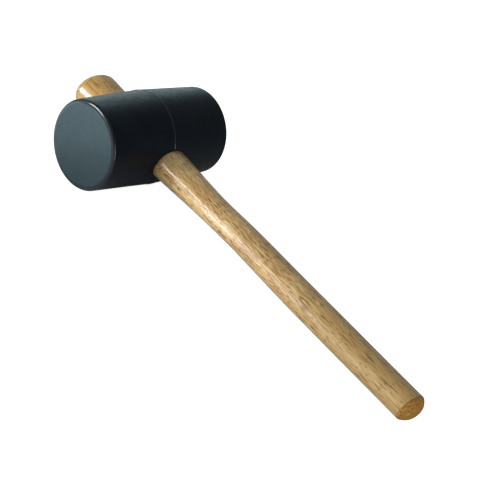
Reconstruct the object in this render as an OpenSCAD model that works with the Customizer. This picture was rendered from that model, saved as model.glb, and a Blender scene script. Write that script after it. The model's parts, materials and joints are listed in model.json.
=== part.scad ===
// Rubber mallet: a solid moulded rubber head driven onto an oval beech handle.
// The handle goes in from the top of the head, and its flared top jams in the tapered eye.
//
// Every shape is drawn in the tool frame: the origin is where the handle's axis crosses the
// head's axis, +X runs along the handle to the grip's end, and Y runs from face to face.
// The mallet then lies on its side on the plane z = 0, on the head's mould line and on the
// grip's end, with its origin at the bottom centre of its bounding box.

/* [Head] */
// Length of the head, from striking face to striking face
head_length = 110; // [100:1:130]
// Diameter of the head at the mould line, halfway along it
head_mid_diameter = 66.5; // [64:0.5:80]
// Diameter that the drafted side would have at a striking face with a sharp rim
head_face_diameter = 62.5; // [56:0.5:63]
// Radius of the rounded rim of each striking face
rim_radius = 2.2; // [1:0.1:5]
// Height of the flash that the mould leaves around the middle
flash_height = 0.3; // [0.1:0.05:0.6]
// Width of that flash where it meets the side of the head
flash_width = 0.9; // [0.6:0.1:2]

/* [Handle] */
// Width of the flared top in the striking direction, where its dome begins
top_width = 35.8; // [34:0.2:40]
// Width where the straight taper ends, inside the head
taper_end_width = 31; // [28:0.2:33]
// Width at the neck, below the head
neck_width = 24.5; // [22:0.1:27]
// Width at the swell, where the palm is
swell_width = 25.7; // [24:0.1:30]
// Width at the grip's end
end_width = 25.2; // [22:0.1:30]
// Thickness of the oval section as a share of its width
oval_ratio = 0.74; // [0.6:0.01:1]
// Distance from the head's axis up to the tip of the dome
top_distance = 62.8; // [58:0.2:80]
// Height of the dome on the top
dome_height = 8.5; // [5:0.5:14]
// Distance from the head's axis down to the end of the straight taper
taper_end_distance = 20; // [10:1:28]
// Distance from the head's axis down to the neck
neck_distance = 90; // [80:1:110]
// Distance from the head's axis down to the swell
swell_distance = 180; // [150:1:200]
// Distance from the head's axis down to the tip of the grip's end
end_distance = 282.2; // [240:0.2:320]
// Height of the crown on the grip's end
crown_height = 5.6; // [3:0.1:7]

/* [Fit] */
// Gap between the handle and the eye in the rubber, all round
eye_gap = 0.05; // [0.02:0.01:0.1]

/* [Hidden] */
$fn = 128;

// Straight steps that each curved stretch of the outlines is drawn with
arc_steps = 8;
flare_steps = 8;
grip_steps = 6;

half_length = head_length / 2;
mid_radius = head_mid_diameter / 2;
draft_angle = atan((head_mid_diameter - head_face_diameter) / head_length);
flash_radius = mid_radius + flash_height;

shoulder_distance = top_distance - dome_height;
wall_end = end_distance - crown_height;

// The mallet leans until the wall at the grip's end is as low as the mould line.
end_half_thickness = oval_ratio * end_width / 2;
lean_angle = asin(flash_radius / norm([wall_end, end_half_thickness]))
    - atan2(end_half_thickness, wall_end);

// Reach of the dome and of the crown along X once the mallet leans. The crown falls away from
// its tip with the cube of the share of the end's width, and reaches furthest at one such share.
top_half_thickness = oval_ratio * top_width / 2;
dome_reach = shoulder_distance * cos(lean_angle)
    + norm([dome_height * cos(lean_angle), top_half_thickness * sin(lean_angle)]);
crown_lead = sqrt(end_half_thickness * tan(lean_angle) / (3 * crown_height));
crown_reach = (end_distance - crown_height * pow(crown_lead, 3)) * cos(lean_angle)
    + crown_lead * end_half_thickness * sin(lean_angle);

function mix(a, b, t) = a + (b - a) * t;
function ease(t) = t * t * (3 - 2 * t);

// Points of a stretch of the handle's side, which leaves its first width at the given rate
// and levels off at its last. The last point belongs to the next stretch.
function stretch(width_from, width_to, rate, from, to, steps) = [
    for (i = [0 : steps - 1])
        let (
            t = i / steps,
            lead = rate * (to - from) * t * (1 - t) * (1 - t)
        )
        [(mix(width_from, width_to, ease(t)) + lead) / 2, mix(from, to, t)]
];

taper_rate = (taper_end_width - top_width) / (taper_end_distance + shoulder_distance);

// Outline of the handle as [half width, distance], from the dome's tip to the crown's tip
handle_outline = concat(
    [for (i = [0 : arc_steps])
        let (a = 90 * i / arc_steps)
        [top_width / 2 * sin(a), -shoulder_distance - dome_height * cos(a)]],
    stretch(taper_end_width, neck_width, taper_rate, taper_end_distance, neck_distance, flare_steps),
    stretch(neck_width, swell_width, 0, neck_distance, swell_distance, grip_steps),
    stretch(swell_width, end_width, 0, swell_distance, wall_end, grip_steps),
    [for (i = [0 : arc_steps])
        let (share = sin(90 * (1 - i / arc_steps)))
        [end_width / 2 * share, end_distance - crown_height * pow(share, 3)]]
);

// Turns an outline into an oval form along the handle's axis, one quarter turn at a time.
module oval_turn(outline) {
    rotate([0, 90, 0])
        for (quarter = [0 : 3])
            scale([oval_ratio, 1, 1])
                rotate([0, 0, 90 * quarter])
                    rotate_extrude(angle = 90)
                        polygon(outline);
}

// The space in the head that the handle fills, a little wider than the handle.
module eye() {
    wall = [
        for (p = handle_outline)
            if (p[1] >= -shoulder_distance && p[1] <= neck_distance)
                [p[0] + eye_gap, p[1]]
    ];
    oval_turn(concat([[0, wall[0][1]]], wall, [[0, wall[len(wall) - 1][1]]]));
}

// Outline of half of the head as [radius, distance from the mould line]
function head_half_outline() =
    let (
        rim_distance = half_length - rim_radius,
        rim_centre = mid_radius - rim_distance * tan(draft_angle) - rim_radius / cos(draft_angle),
        foot = flash_width / 2
    )
    concat(
        [[flash_radius, flash_width / 6],
         [mid_radius - foot * tan(draft_angle), foot]],
        [for (i = [0 : arc_steps])
            let (a = mix(draft_angle, 90, i / arc_steps))
            [rim_centre + rim_radius * cos(a), rim_distance + rim_radius * sin(a)]]
    );

function mirrored(points) = [
    for (i = [len(points) - 1 : -1 : 0])
        [points[i][0], -points[i][1]]
];

// The head before its eye is cut: two drafted halves that meet at the mould line.
module solid_head() {
    half = head_half_outline();
    rotate([90, 0, 0])
        rotate_extrude()
            polygon(concat([[0, -half_length]], mirrored(half), half, [[0, half_length]]));
}

// Lays the mallet on the plane z = 0 and centres its footprint on the origin.
module lying() {
    translate([(dome_reach - crown_reach) / 2, 0, flash_radius])
        rotate([0, lean_angle, 0])
            children();
}

// Solid rubber head with its tapered oval eye.
module head() {
    color("#22282c")
        lying()
            difference() {
                solid_head();
                eye();
            }
}

// One-piece beech handle: domed flared top, neck, swell and crowned end.
module handle() {
    color("#b98f5a")
        lying()
            oval_turn(handle_outline);
}

head();
handle();
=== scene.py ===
"""Studio scene of a rubber mallet: a moulded black rubber head on a lacquered beech handle.

Both meshes are drawn in the tool frame and then laid down as the CAD lies. In the tool frame the
origin is where the handle's axis crosses the head's axis, +X runs along the handle to the grip's
end, and Y runs from striking face to striking face. Everything is in metres.
"""
import json
import math

import bmesh
import bpy
from mathutils import Matrix, Vector, noise


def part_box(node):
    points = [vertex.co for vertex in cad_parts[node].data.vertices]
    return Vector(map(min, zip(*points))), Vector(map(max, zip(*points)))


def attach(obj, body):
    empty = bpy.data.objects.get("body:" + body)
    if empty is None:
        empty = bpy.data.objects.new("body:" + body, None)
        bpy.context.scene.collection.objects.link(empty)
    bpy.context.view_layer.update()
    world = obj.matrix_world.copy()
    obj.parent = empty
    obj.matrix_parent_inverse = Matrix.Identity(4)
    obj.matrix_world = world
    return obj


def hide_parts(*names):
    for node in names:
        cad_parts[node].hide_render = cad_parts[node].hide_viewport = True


MM = 0.001

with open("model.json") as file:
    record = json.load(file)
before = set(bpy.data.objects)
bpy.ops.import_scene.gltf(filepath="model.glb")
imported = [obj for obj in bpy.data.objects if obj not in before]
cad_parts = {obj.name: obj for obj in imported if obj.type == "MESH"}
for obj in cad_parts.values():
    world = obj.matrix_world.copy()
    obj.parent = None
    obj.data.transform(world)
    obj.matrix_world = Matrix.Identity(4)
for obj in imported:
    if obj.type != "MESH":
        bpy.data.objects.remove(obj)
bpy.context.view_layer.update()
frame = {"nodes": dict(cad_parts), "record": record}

# ---------------------------------------------------------------- sizes from the frame

head_low, head_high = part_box("head")
handle_low, handle_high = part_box("handle")
grip_axis = next(m["axis"] for m in frame["record"]["mounts"] if m["name"] == "grip")

HALF_LENGTH = (head_high.y - head_low.y) / 2
FLASH_RADIUS = (head_high.z - head_low.z) / 2
HEAD_CENTRE = (head_low + head_high) / 2
LEAN = math.atan2(-grip_axis[2], grip_axis[0])
TOOL_TO_ROW = Matrix.Translation(HEAD_CENTRE) @ Matrix.Rotation(LEAN, 4, "Y")

in_tool_frame = [TOOL_TO_ROW.inverted() @ v.co for v in frame["nodes"]["handle"].data.vertices]
TOP_DISTANCE = -min(p.x for p in in_tool_frame)
END_DISTANCE = max(p.x for p in in_tool_frame)
TOP_WIDTH = handle_high.y - handle_low.y
OVAL_RATIO = 2 * max(p.z for p in in_tool_frame) / TOP_WIDTH

# ---------------------------------------------------------------- sizes of the head

FLASH_HEIGHT = 0.3 * MM
FLASH_WIDTH = 0.9 * MM
MID_RADIUS = FLASH_RADIUS - FLASH_HEIGHT
DRAFT = math.radians(2.08)
RIM_RADIUS = 2.2 * MM
RIM_DISTANCE = HALF_LENGTH - RIM_RADIUS
RIM_CENTRE_RADIUS = MID_RADIUS - RIM_DISTANCE * math.tan(DRAFT) - RIM_RADIUS / math.cos(DRAFT)
LIP_RADIUS = 0.7 * MM
# How unevenly the head came out of its mould
LINE_WANDER = 0.1 * MM
WAVE_HEIGHT = 0.12 * MM
FACE_HOLLOW = 0.1 * MM

# ---------------------------------------------------------------- sizes of the handle

DOME_HEIGHT = 8.5 * MM
CROWN_HEIGHT = 5.6 * MM
TAPER_END_WIDTH = 31 * MM
NECK_WIDTH = 24.5 * MM
SWELL_WIDTH = 25.7 * MM
END_WIDTH = 25.2 * MM
SHOULDER = DOME_HEIGHT - TOP_DISTANCE
TAPER_END = 20 * MM
NECK = 90 * MM
SWELL = 180 * MM
WALL_END = END_DISTANCE - CROWN_HEIGHT
TURNING_UNEVENNESS = 0.1 * MM
BOW = 0.7 * MM
BOW_START = 75 * MM
BOW_PEAK = 114 * MM
BOW_STOP = 175 * MM

# ---------------------------------------------------------------- mesh helpers


def mix(a, b, t):
    return a + (b - a) * t


def ease(t):
    return t * t * (3 - 2 * t)


def steps(start, stop, count):
    """count + 1 evenly spaced values from start to stop."""
    return [mix(start, stop, i / count) for i in range(count + 1)]


def band(first, second):
    """Quads between two closed rings of vertex indices of the same length."""
    n = len(first)
    return [(first[i], first[(i + 1) % n], second[(i + 1) % n], second[i]) for i in range(n)]


def fan(ring, tip):
    """Triangles from a closed ring of vertex indices to one vertex."""
    n = len(ring)
    return [(ring[i], ring[(i + 1) % n], tip) for i in range(n)]


def mesh_piece(name, verts, faces):
    """A smooth-shaded piece from verts in the tool frame, laid down as the mallet lies."""
    mesh = bpy.data.meshes.new(name)
    mesh.from_pydata(verts, [], faces)
    shell = bmesh.new()
    shell.from_mesh(mesh)
    bmesh.ops.recalc_face_normals(shell, faces=shell.faces)
    shell.to_mesh(mesh)
    shell.free()
    mesh.polygons.foreach_set("use_smooth", [True] * len(mesh.polygons))
    mesh.transform(TOOL_TO_ROW)
    piece = bpy.data.objects.new(name, mesh)
    bpy.context.scene.collection.objects.link(piece)
    return piece


# ---------------------------------------------------------------- handle


def half_width(x):
    """Half of the handle's width at x: a straight taper, a flare, the neck, the swell, the end."""
    if x < TAPER_END:
        return mix(TOP_WIDTH, TAPER_END_WIDTH, (x - SHOULDER) / (TAPER_END - SHOULDER)) / 2
    if x < NECK:
        t = (x - TAPER_END) / (NECK - TAPER_END)
        rate = (TAPER_END_WIDTH - TOP_WIDTH) / (TAPER_END - SHOULDER)
        lead = rate * (NECK - TAPER_END) * t * (1 - t) ** 2
        return (mix(TAPER_END_WIDTH, NECK_WIDTH, ease(t)) + lead) / 2
    if x < SWELL:
        return mix(NECK_WIDTH, SWELL_WIDTH, ease((x - NECK) / (SWELL - NECK))) / 2
    return mix(SWELL_WIDTH, END_WIDTH, ease((x - SWELL) / (WALL_END - SWELL))) / 2


def bow(x):
    """How far the handle's middle strays upwards at x."""
    if x < BOW_PEAK:
        return BOW * ease(max(0, x - BOW_START) / (BOW_PEAK - BOW_START))
    return BOW * ease(max(0, BOW_STOP - x) / (BOW_STOP - BOW_PEAK))


def crown_point(share):
    """(x, half width) of the crown at a share of the end's width."""
    return END_DISTANCE - CROWN_HEIGHT * share**3, END_WIDTH / 2 * share


def handle_profile():
    """Rings of the handle as (x, half width), between the dome's tip and the crown's tip."""
    dome = [
        (SHOULDER - DOME_HEIGHT * math.cos(a), TOP_WIDTH / 2 * math.sin(a))
        for a in steps(0, math.pi / 2, 16)[1:-1]
    ]
    wall_stop = WALL_END - 0.9 * MM
    crown_start = 0.95
    wall = [(x, half_width(x)) for x in steps(SHOULDER, wall_stop, 150)]
    crown = [crown_point(share) for share in steps(crown_start, 0, 16)[:-1]]

    # A small curve bends the wall into the crown.
    corner = crown_point(1)
    rim = []
    for t in steps(0, 1, 5)[1:-1]:
        before = [mix(p, q, t) for p, q in zip(wall[-1], corner)]
        after = [mix(p, q, t) for p, q in zip(corner, crown[0])]
        rim.append([mix(p, q, t) for p, q in zip(before, after)])
    return dome + wall + rim + crown


def make_handle():
    around = 96
    verts = []
    rings = []
    for x, half in handle_profile():
        ring = []
        for k in range(around):
            a = 2 * math.pi * k / around
            spot = Vector((18 * x, 0.5 * math.cos(a), 0.5 * math.sin(a)))
            r = half + TURNING_UNEVENNESS * noise.noise(spot) * min(1, 2 * half / END_WIDTH)
            ring.append(len(verts))
            verts.append((x, r * math.cos(a), OVAL_RATIO * r * math.sin(a) + bow(x)))
        rings.append(ring)
    faces = []
    for first, second in zip(rings, rings[1:]):
        faces += band(first, second)
    verts += [(-TOP_DISTANCE, 0, 0), (END_DISTANCE, 0, 0)]
    faces += fan(rings[0], len(verts) - 2)
    faces += fan(rings[-1], len(verts) - 1)
    return mesh_piece("turned_handle", verts, faces)


# ---------------------------------------------------------------- head

# Each mouth of the eye sits in a patch of the side, with this half angle and half length.
PATCH_ANGLE = 0.56
PATCH_LENGTH = 21 * MM
PATCH_COLUMNS = 28
COLUMNS_BETWEEN = 44


def head_rows():
    """Rows of the head's side and rims as (y, radius), close together at the mould line."""
    near_flash = [0.1, 0.2, 0.3, 0.4, 0.55, 0.8, 1.2, 1.8, 2.6, 3.7, 5]
    side = [y * MM for y in near_flash] + steps(5 * MM, PATCH_LENGTH, 14)[1:]
    side += steps(PATCH_LENGTH, RIM_DISTANCE, 18)[1:-1]
    half = [(y, MID_RADIUS - y * math.tan(DRAFT)) for y in side]
    half += [
        (RIM_DISTANCE + RIM_RADIUS * math.sin(a), RIM_CENTRE_RADIUS + RIM_RADIUS * math.cos(a))
        for a in steps(DRAFT, math.pi / 2, 10)
    ]
    return [(-y, r) for y, r in reversed(half)] + [(0, MID_RADIUS)] + half


def head_angles():
    """Angles of the head's columns, from the first edge of the lower mouth's patch."""
    turn = []
    for centre in (0, math.pi):
        turn += steps(centre - PATCH_ANGLE, centre + PATCH_ANGLE, PATCH_COLUMNS)[:-1]
        turn += steps(centre + PATCH_ANGLE, centre + math.pi - PATCH_ANGLE, COLUMNS_BETWEEN)[:-1]
    return turn


def surface_point(y, radius, angle, sunk=0):
    """A place on the head, with the mould line's ragged flash and the moulding's faint waves."""
    circle = Vector((math.cos(angle), math.sin(angle), 0))
    height = FLASH_HEIGHT * (0.75 + 0.5 * noise.noise(circle * 8))
    middle = LINE_WANDER * noise.noise(circle * 3 + Vector((9, 0, 0)))
    flash = height * math.exp(-(((y - middle) / (FLASH_WIDTH / 3)) ** 2))
    waves = WAVE_HEIGHT * noise.noise(Vector((30 * y, circle.x, circle.y)))
    r = radius + flash * (1 - sunk / LIP_RADIUS) + waves - sunk
    return (r * circle.x, y, r * circle.y)


def side_radius(y):
    return MID_RADIUS - abs(y) * math.tan(DRAFT)


def mouth_place(turn, toward, gap):
    """(y, angle) on the head's side of the oval's point at turn, a gap away from the handle."""
    x = toward * MID_RADIUS
    for _ in range(5):
        y = (half_width(x) + gap) * math.cos(turn)
        z = (OVAL_RATIO * half_width(x) + gap) * math.sin(turn)
        x = toward * math.sqrt(side_radius(y) ** 2 - z**2)
    return y, math.atan2(toward * z, toward * x)


def add_mouth(verts, faces, border, centre, toward):
    """Joins a patch's border to a mouth of the eye with a rounded lip. Returns the innermost ring
    as {turn: vertex}. border is a list of (vertex, y, angle from the patch's centre)."""
    rings = 12
    lip_steps = 5
    turns = [toward * math.atan2(a / PATCH_ANGLE, y / PATCH_LENGTH) for _, y, a in border]
    loop = [vertex for vertex, _, _ in border]
    for j in range(1, rings + lip_steps + 1):
        ring = []
        for (_, y, a), turn in zip(border, turns):
            bend = math.radians(90) * max(0, j - rings) / lip_steps
            mouth_y, mouth_a = mouth_place(turn, toward, LIP_RADIUS * (1 - math.sin(bend)))
            t = min(1, j / rings)
            place_y = mix(y, mouth_y, t)
            place_a = centre + mix(a, mouth_a, t)
            ring.append(len(verts))
            sunk = LIP_RADIUS * (1 - math.cos(bend))
            verts.append(surface_point(place_y, side_radius(place_y), place_a, sunk))
        faces += band(loop, ring)
        loop = ring
    return dict(zip(turns, loop))


def make_head():
    rows = head_rows()
    angles = head_angles()
    columns = len(angles)
    low = min(i for i, (y, _) in enumerate(rows) if y >= -PATCH_LENGTH * 1.001)
    high = len(rows) - 1 - low
    half_turn = PATCH_COLUMNS + COLUMNS_BETWEEN
    starts = (0, half_turn)

    def in_patch(i, k):
        """Is the cell at row i and column k part of a patch?"""
        return low <= i < high and k % half_turn < PATCH_COLUMNS

    def inside_patch(i, k):
        """Is the corner at row i and column k strictly inside a patch?"""
        return low < i < high and 0 < k % half_turn < PATCH_COLUMNS

    verts = []
    faces = []
    grid = {}
    for i, (y, radius) in enumerate(rows):
        for k, angle in enumerate(angles):
            if not inside_patch(i, k):
                grid[i, k] = len(verts)
                verts.append(surface_point(y, radius, angle))
    for i in range(len(rows) - 1):
        for k in range(columns):
            if not in_patch(i, k):
                after = (k + 1) % columns
                faces.append((grid[i, k], grid[i, after], grid[i + 1, after], grid[i + 1, k]))

    # The two mouths of the eye, and the wall of the eye from one to the other
    ends = []
    for start, centre, toward in zip(starts, (0, math.pi), (1, -1)):
        left, right = start, start + PATCH_COLUMNS
        corners = [(low, k) for k in range(left, right)]
        corners += [(i, right) for i in range(low, high)]
        corners += [(high, k) for k in range(right, left, -1)]
        corners += [(i, left) for i in range(high, low, -1)]
        border = [(grid[i, k], rows[i][0], angles[k] - centre) for i, k in corners]
        ends.append(add_mouth(verts, faces, border, centre, toward))
    lower, upper = ([mouth[t] for t in sorted(mouth)] for mouth in ends)
    turns = sorted(ends[0])
    loop = lower
    depth_steps = 14
    for j in range(1, depth_steps):
        ring = []
        for turn, first, last in zip(turns, lower, upper):
            x = mix(verts[first][0], verts[last][0], j / depth_steps)
            ring.append(len(verts))
            half = half_width(x)
            verts.append((x, half * math.cos(turn), OVAL_RATIO * half * math.sin(turn)))
        faces += band(loop, ring)
        loop = ring
    faces += band(loop, upper)

    # The two striking faces, each a little uneven
    for i, toward in ((0, -1), (len(rows) - 1, 1)):
        loop = [grid[i, k] for k in range(columns)]
        for radius in steps(RIM_CENTRE_RADIUS, 0, 20)[1:-1]:
            ring = []
            for angle in angles:
                x, z = radius * math.cos(angle), radius * math.sin(angle)
                hollow = FACE_HOLLOW * (0.5 + noise.noise(Vector((40 * x, 40 * z, toward))))
                hollow *= ease(min(1, (RIM_CENTRE_RADIUS - radius) / (5 * MM)))
                ring.append(len(verts))
                verts.append((x, toward * (HALF_LENGTH - hollow), z))
            faces += band(loop, ring)
            loop = ring
        verts.append((0, toward * (HALF_LENGTH - FACE_HOLLOW / 2), 0))
        faces += fan(loop, len(verts) - 1)
    return mesh_piece("moulded_head", verts, faces)


# ---------------------------------------------------------------- material helpers


class Nodes:
    """Builds a material's node tree with one call for each node."""

    def __init__(self, name):
        self.material = bpy.data.materials.new(name)
        self.material.use_nodes = True
        self.tree = self.material.node_tree
        self.shader = self.tree.nodes["Principled BSDF"]

    def put(self, value, socket):
        """Links an output to the socket, or sets the socket to a plain value."""
        if isinstance(value, bpy.types.NodeSocket):
            self.tree.links.new(value, socket)
        else:
            socket.default_value = value

    def add(self, kind, inputs, output=0, **settings):
        node = self.tree.nodes.new(kind)
        for key, value in settings.items():
            setattr(node, key, value)
        for key, value in inputs.items():
            self.put(value, node.inputs[key])
        return node.outputs[output]

    def tool_mm(self):
        """Position in the tool frame, in millimetres."""
        place = self.add("ShaderNodeTexCoord", {}, "Object")
        inputs = {
            "Vector": place,
            "Location": HEAD_CENTRE,
            "Rotation": (0, LEAN, 0),
            "Scale": (MM, MM, MM),
        }
        return self.add("ShaderNodeMapping", inputs, vector_type="TEXTURE")

    def vector(self, operation, a, b, output="Vector"):
        return self.add("ShaderNodeVectorMath", {0: a, 1: b}, output, operation=operation)

    def length(self, vector):
        return self.add("ShaderNodeVectorMath", {0: vector}, "Value", operation="LENGTH")

    def parts(self, vector):
        """The x, y and z of a vector."""
        return [self.add("ShaderNodeSeparateXYZ", {0: vector}, axis) for axis in "XYZ"]

    def turn(self, vector, axis, angle):
        inputs = {"Vector": vector, "Axis": axis, "Angle": angle}
        return self.add("ShaderNodeVectorRotate", inputs, rotation_type="AXIS_ANGLE")

    def flecks(self, vector, sizes, solid, edge, share):
        """1 in small long spots, one at most for each cell of the given sizes, and 0 elsewhere.
        The share of the cells that have one may vary from place to place."""
        cells = {"Vector": self.vector("DIVIDE", vector, sizes), "Scale": 1, "Randomness": 1}
        distance = self.add("ShaderNodeTexVoronoi", cells, "Distance")
        lot = self.parts(self.add("ShaderNodeTexVoronoi", cells, "Color"))[0]
        present = self.math("LESS_THAN", lot, share)
        return self.math("MULTIPLY", self.ramp(distance, solid, edge, 1, 0), present)

    def noise(self, vector, sizes, detail=3, roughness=0.5, output="Fac"):
        vector = self.vector("DIVIDE", vector, sizes)
        inputs = {"Vector": vector, "Scale": 1, "Detail": detail, "Roughness": roughness}
        return self.add("ShaderNodeTexNoise", inputs, output)

    def math(self, operation, a, b=0.0):
        return self.add("ShaderNodeMath", {0: a, 1: b}, operation=operation)

    def ramp(self, value, low, high, to_low=0.0, to_high=1.0):
        """Value mapped smoothly from low..high to to_low..to_high."""
        inputs = {
            "Value": value,
            "From Min": low,
            "From Max": high,
            "To Min": to_low,
            "To Max": to_high,
        }
        return self.add("ShaderNodeMapRange", inputs, interpolation_type="SMOOTHSTEP")

    def blend(self, amount, a, b):
        """Colour a turned towards b by the amount."""
        node = self.tree.nodes.new("ShaderNodeMix")
        node.data_type = "RGBA"
        self.put(amount, node.inputs["Factor"])
        self.put(a, node.inputs[6])
        self.put(b, node.inputs[7])
        return node.outputs[2]

    def bump(self, height, distance, strength, normal=None):
        inputs = {"Height": height, "Distance": distance, "Strength": strength}
        if normal is not None:
            inputs["Normal"] = normal
        return self.add("ShaderNodeBump", inputs)


def colour(r, g, b):
    """A colour from its 0 to 255 screen values."""
    return tuple((v / 255) ** 2.2 for v in (r, g, b)) + (1,)


# ---------------------------------------------------------------- beech under lacquer

# Angle about the handle's axis of the side that the pith is behind
PITH_TURN = math.radians(54)
# Slope of the grain against the handle's axis
GRAIN_SLOPE = math.radians(1.5)


def beech():
    n = Nodes("lacquered_beech")
    place = n.tool_mm()

    # In the wood's own axes, x runs along the grain, y along the rings and z out from the pith.
    wander = n.vector("SUBTRACT", n.noise(place, (60, 20, 20), 1, output="Color"), (0.5, 0.5, 0.5))
    bent = n.vector("ADD", place, n.vector("MULTIPLY", wander, (0, 1.2, 1.2)))
    turned = n.turn(bent, (1, 0, 0), -PITH_TURN)
    wood = n.turn(turned, (0, 0, 1), GRAIN_SLOPE)

    # Growth rings about a pith 80 mm away
    from_pith = n.vector("MULTIPLY", n.vector("ADD", wood, (0, 12, 80)), (0.02, 1, 1))
    year = n.math("FRACT", n.math("DIVIDE", n.length(from_pith), 2.2))
    late = n.math("MULTIPLY", n.ramp(year, 0.4, 0.9), n.ramp(year, 0.9, 1.0, 1, 0))

    # Long fine streaks, broad patches of tone, and reddish ones
    streaks = n.noise(wood, (10, 0.4, 0.6), detail=4, roughness=0.7)
    patches = n.noise(wood, (50, 5, 9), detail=2)
    blush = n.noise(n.vector("ADD", wood, (7, 40, 3)), (30, 2.5, 6), detail=2)

    # Dark flecks where rays end: short and long ones in drifts, and dashes crowded below the neck
    x = n.parts(place)[0]
    crowd = n.noise(wood, (40, 8, 14), detail=1)
    here = n.math("MULTIPLY", n.ramp(crowd, 0.35, 0.6, 0.25, 0.8), n.ramp(x, 60, 140, 0.5, 1))
    here = n.math("ADD", here, n.ramp(x, -40, 0, 0.1, 0))
    short = n.flecks(wood, (7, 0.55, 0.75), 0.3, 0.36, here)
    long = n.flecks(n.vector("ADD", wood, (31, 17, 5)), (19, 0.8, 1.1), 0.24, 0.3, here)
    fleck = n.math("MAXIMUM", n.math("MULTIPLY", short, n.ramp(x, 170, 240, 0.9, 0.35)), long)
    middle = n.math("MULTIPLY", n.ramp(x, 80, 125, 0.05, 0.5), n.ramp(x, 160, 200, 1, 0.2))
    dash = n.flecks(n.vector("ADD", wood, (11, 23, 9)), (4, 0.6, 0.8), 0.34, 0.37, middle)
    fleck = n.math("MAXIMUM", fleck, dash)

    # The grain runs out at both ends, which drink the lacquer and darken.
    normal = n.add("ShaderNodeNewGeometry", {}, "Normal")
    along = n.vector("DOT_PRODUCT", normal, grip_axis, "Value")
    end_grain = n.ramp(along, 0.05, 0.2)
    pores = n.noise(wood, (3, 0.4, 0.8), detail=3, roughness=0.65)

    tone = n.blend(n.ramp(patches, 0.3, 0.7), colour(199, 165, 102), colour(220, 190, 133))
    tone = n.blend(n.ramp(blush, 0.5, 0.7, 0, 0.3), tone, colour(208, 140, 84))
    tone = n.blend(n.math("MULTIPLY", n.ramp(streaks, 0.4, 0.6), 0.85), tone, colour(150, 108, 56))
    tone = n.blend(n.math("MULTIPLY", late, 0.2), tone, colour(150, 104, 50))

    # The lacquer is yellower on the top, and the wood is darker along the grip. Painted shade
    # darkens the wood beside the head, where the head shades the handle.
    tone = n.blend(n.ramp(x, -50, 0, 0.5, 0), tone, colour(206, 150, 68))
    tone = n.blend(n.ramp(x, 34, 52, 0.35, 0), tone, colour(120, 92, 54))
    tone = n.blend(n.ramp(x, 140, 230, 0, 0.6), tone, colour(150, 118, 66))

    end_tone = n.blend(n.ramp(pores, 0.35, 0.65), colour(112, 76, 28), colour(204, 144, 66))
    end_tone = n.blend(n.ramp(patches, 0.45, 0.6, 0, 0.4), end_tone, colour(196, 106, 30))
    tone = n.blend(end_grain, tone, end_tone)
    # Painted shade darkens the rounded edge between the side and the end grain.
    edge_painted_shade = n.blend(end_grain, tone, colour(84, 58, 24))
    tone = n.blend(n.ramp(along, 0.2, 0.5, 0.6, 0), tone, edge_painted_shade)
    shown = n.math("MULTIPLY", fleck, n.ramp(along, 0.05, 0.2, 0.95, 0.25))
    tone = n.blend(shown, tone, colour(88, 46, 10))
    n.put(tone, n.shader.inputs["Base Color"])

    # Lacquer follows the grain faintly and has long soft waves. The end grain has drunk it.
    waves = n.noise(place, (14, 3, 3), detail=2)
    relief = n.math("SUBTRACT", streaks, n.math("MULTIPLY", fleck, 0.15))
    surface = n.bump(waves, 0.10 * MM, 0.5)
    surface = n.bump(relief, 0.05 * MM, 0.6, surface)
    n.put(surface, n.shader.inputs["Normal"])
    dry = n.math("MULTIPLY", end_grain, 0.4)
    n.put(n.math("ADD", n.ramp(streaks, 0.3, 0.8, 0.4, 0.52), dry), n.shader.inputs["Roughness"])
    n.put(n.ramp(end_grain, 0, 1, 0.95, 0.02), n.shader.inputs["Coat Weight"])
    n.shader.inputs["Coat Roughness"].default_value = 0.11
    film = n.bump(waves, 0.10 * MM, 0.5)
    n.put(n.bump(relief, 0.07 * MM, 0.6, film), n.shader.inputs["Coat Normal"])
    return n.material


# ---------------------------------------------------------------- moulded rubber


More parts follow.
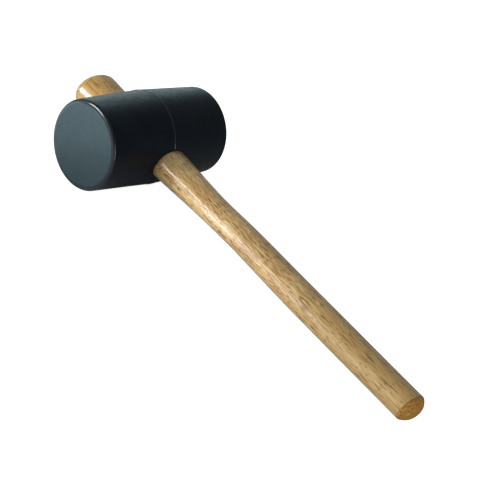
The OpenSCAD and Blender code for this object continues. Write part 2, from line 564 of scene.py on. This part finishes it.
def rubber():
    n = Nodes("black_rubber")
    place = n.tool_mm()
    across, length, height = n.parts(place)
    from_axis = n.length(n.vector("MULTIPLY", place, (1, 0, 1)))
    from_middle = n.math("ABSOLUTE", length)
    cloud = n.noise(place, (16, 16, 16), detail=4, roughness=0.6)
    mottle = n.noise(place, (3.5, 3.5, 3.5), detail=3, roughness=0.6)
    speck = n.noise(place, (0.8, 0.8, 0.8), detail=2)

    # The striking faces are paler than the sides, partly from a bloom and partly as painted sheen,
    # and painted light makes them lighter towards the top and away from the handle.
    # The pale colour runs over the rims on the side of the handle's top, and stops short of them
    # elsewhere.
    face_radius = RIM_CENTRE_RADIUS / MM
    pale_face_edge = n.math("ADD", from_axis, n.ramp(across, -26, -8, -1.8, 0))
    inside = n.ramp(pale_face_edge, face_radius - 1.4, face_radius - 0.4, 1, 0)
    near_end = n.ramp(from_middle, HALF_LENGTH / MM - 1, HALF_LENGTH / MM - 0.3)
    on_face = n.math("MULTIPLY", inside, near_end)
    # Painted light: the faces grow lighter towards the top and away from the handle.
    upward = n.math("SUBTRACT", n.math("DIVIDE", height, 58), n.math("DIVIDE", across, 110))
    uneven = n.math("MULTIPLY", n.math("SUBTRACT", cloud, 0.5), 0.5)
    bloom_and_painted_sheen = n.math("ADD", n.math("ADD", upward, uneven), 0.5)
    face_bloom_and_painted_sheen = n.blend(n.ramp(bloom_and_painted_sheen, -0.1, 1.1), colour(40, 50, 53), colour(64, 76, 80))
    face_bloom_and_painted_sheen = n.blend(n.ramp(mottle, 0.35, 0.7, 0, 0.25), face_bloom_and_painted_sheen, colour(48, 60, 64))
    side_tone = n.blend(n.ramp(cloud, 0.35, 0.65), colour(12, 14, 22), colour(19, 22, 31))
    # Painted highlight: the side is lightened along the mould line.
    line = n.ramp(from_middle, 0.2, 0.6, 1, 0)
    side_tone = n.blend(n.math("MULTIPLY", line, 0.5), side_tone, colour(44, 56, 58))
    n.put(n.blend(on_face, side_tone, face_bloom_and_painted_sheen), n.shader.inputs["Base Color"])
    n.put(n.ramp(mottle, 0.3, 0.7, 0.40, 0.50), n.shader.inputs["Roughness"])
    n.shader.inputs["Specular IOR Level"].default_value = 0.19
    n.shader.inputs["Specular Tint"].default_value = (0.8, 0.97, 1, 1)

    # Handling has polished the rims and the mould line.
    rim = n.ramp(from_middle, RIM_DISTANCE / MM + 0.2, RIM_DISTANCE / MM + 1.7)
    rim = n.math("MULTIPLY", rim, n.ramp(from_axis, face_radius - 1.2, face_radius - 0.2))
    worn = n.math("MAXIMUM", rim, n.math("MULTIPLY", line, 0.5))
    polish = n.math("MULTIPLY", worn, n.ramp(mottle, 0.2, 0.6, 0.7, 1))
    n.put(polish, n.shader.inputs["Coat Weight"])
    n.shader.inputs["Coat Roughness"].default_value = 0.11

    surface = n.bump(mottle, 0.10 * MM, 0.25)
    surface = n.bump(speck, 0.04 * MM, 0.35, surface)
    n.put(surface, n.shader.inputs["Normal"])
    return n.material


# ---------------------------------------------------------------- studio


def make_floor():
    """A pale sheet. To the camera it glows nearly white, so that shadows stay light. To the mallet
    it doesn't glow, so that the rubber stays dark and the lacquer clear."""
    mesh = bpy.data.meshes.new("floor")
    reach = 30
    corners = [(-reach, -reach, 0), (reach, -reach, 0), (reach, reach, 0), (-reach, reach, 0)]
    mesh.from_pydata(corners, [], [(0, 1, 2, 3)])
    floor = bpy.data.objects.new("floor", mesh)
    bpy.context.scene.collection.objects.link(floor)
    n = Nodes("pale_floor")
    seen = n.add("ShaderNodeLightPath", {}, "Is Camera Ray")
    n.put(n.blend(seen, (0.65, 0.65, 0.65, 1), (0.7, 0.7, 0.7, 1)), n.shader.inputs["Base Color"])
    n.put(n.math("MULTIPLY", seen, 0.92), n.shader.inputs["Emission Strength"])
    n.shader.inputs["Emission Color"].default_value = (1, 1, 1, 1)
    n.shader.inputs["Roughness"].default_value = 0.9
    n.shader.inputs["Specular IOR Level"].default_value = 0.1
    mesh.materials.append(n.material)


def direction(azimuth, elevation):
    """Unit vector at degrees of azimuth from +X towards +Y and of elevation above the floor."""
    a, e = math.radians(azimuth), math.radians(elevation)
    return Vector((math.cos(a) * math.cos(e), math.sin(a) * math.cos(e), math.sin(e)))


def softbox(name, place, target, width, height, radiance, mirrored=True, tint=(1, 1, 1)):
    """A soft light that faces the target, and that glossy surfaces mirror unless told not to.
    Its power gives its face the radiance."""
    light = bpy.data.lights.new(name, "AREA")
    light.color = tint
    light.shape = "RECTANGLE"
    light.size = width
    light.size_y = height
    light.energy = radiance * math.pi * width * height
    lamp = bpy.data.objects.new(name, light)
    lamp.location = place
    lamp.rotation_euler = (target - place).to_track_quat("-Z", "Y").to_euler()
    lamp.visible_camera = False
    lamp.visible_glossy = mirrored
    bpy.context.scene.collection.objects.link(lamp)
    return lamp


def light_world():
    """A dim room. The camera sees a plain pale backdrop."""
    world = bpy.data.worlds.new("studio")
    world.use_nodes = True
    nodes, links = world.node_tree.nodes, world.node_tree.links
    ambient = nodes["Background"]
    ambient.inputs["Color"].default_value = (0.85, 0.96, 1, 1)
    ambient.inputs["Strength"].default_value = 0.3
    backdrop = nodes.new("ShaderNodeBackground")
    backdrop.inputs["Color"].default_value = (0.97, 0.97, 0.97, 1)
    seen = nodes.new("ShaderNodeLightPath")
    either = nodes.new("ShaderNodeMixShader")
    links.new(seen.outputs["Is Camera Ray"], either.inputs["Fac"])
    links.new(ambient.outputs[0], either.inputs[1])
    links.new(backdrop.outputs[0], either.inputs[2])
    links.new(either.outputs[0], nodes["World Output"].inputs["Surface"])
    bpy.context.scene.world = world


def shine_only_on(lamp, piece):
    """Keeps a light off everything but one piece."""
    lit = bpy.data.collections.new(lamp.name + "_lights")
    lit.objects.link(piece)
    lamp.light_linking.receiver_collection = lit


def light_studio(wooden, rubbery):
    """Soft lights on the left of the camera, the highest of which draws the bright stripe along
    the handle, a narrow one on the right for the rim, and two behind: one for the rubber's sheen,
    and one that fills the shadows. The stripe's light falls only on the wood, and the sheen's
    only on the rubber."""
    neck = TOOL_TO_ROW @ Vector((NECK, 0, 0))
    back = HEAD_CENTRE + direction(149, 19) * 0.5
    key = softbox("key", neck + direction(-119, 36) * 0.6, neck, 0.14, 0.08, 13)
    shine_only_on(key, wooden)
    softbox("left", neck + direction(-128, 10.6) * 1.2, neck, 0.4, 0.48, 19, tint=(0.9, 0.97, 1))
    softbox("left_fill", neck + direction(-112, 14) * 0.5, neck, 0.3, 0.2, 6.5, False)
    right = HEAD_CENTRE + direction(-24, 10) * 0.6
    softbox("right_strip", right, HEAD_CENTRE, 0.08, 0.35, 9, tint=(0.9, 0.96, 1))
    sheen = softbox("back", back, HEAD_CENTRE, 0.4, 0.45, 1.5, tint=(0.72, 0.96, 1))
    shine_only_on(sheen, rubbery)
    softbox("back_fill", neck + direction(140, 30) * 0.9, neck, 0.6, 0.5, 2, False)
    light_world()


def make_camera():
    """The camera looks past the head's near face at the handle below its neck, and leans to one
    side."""
    distance = 1.007
    aim_down_handle = 121.5 * MM
    aim_below_axis = 2.2 * MM
    roll = math.radians(22.7)
    camera_data = bpy.data.cameras.new("camera")
    camera_data.sensor_width = 36
    camera_data.lens = 102.8
    camera = bpy.data.objects.new("camera", camera_data)
    camera.location = HEAD_CENTRE + direction(-49.93, 26.45) * distance
    aim = TOOL_TO_ROW @ Vector((aim_down_handle, 0, -aim_below_axis))
    level = (aim - camera.location).to_track_quat("-Z", "Y").to_matrix()
    camera.rotation_euler = (level @ Matrix.Rotation(roll, 3, "Z")).to_euler()
    bpy.context.scene.collection.objects.link(camera)
    bpy.context.scene.camera = camera


make_camera()
make_floor()
bpy.context.scene.view_settings.view_transform = "Standard"

handle = make_handle()
handle.data.materials.append(beech())
head = make_head()
head.data.materials.append(rubber())
light_studio(handle, head)
for piece, node, finish in ((head, "head", "black_rubber"), (handle, "handle", "lacquered_beech")):
    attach(piece, "root")
    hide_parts(node)
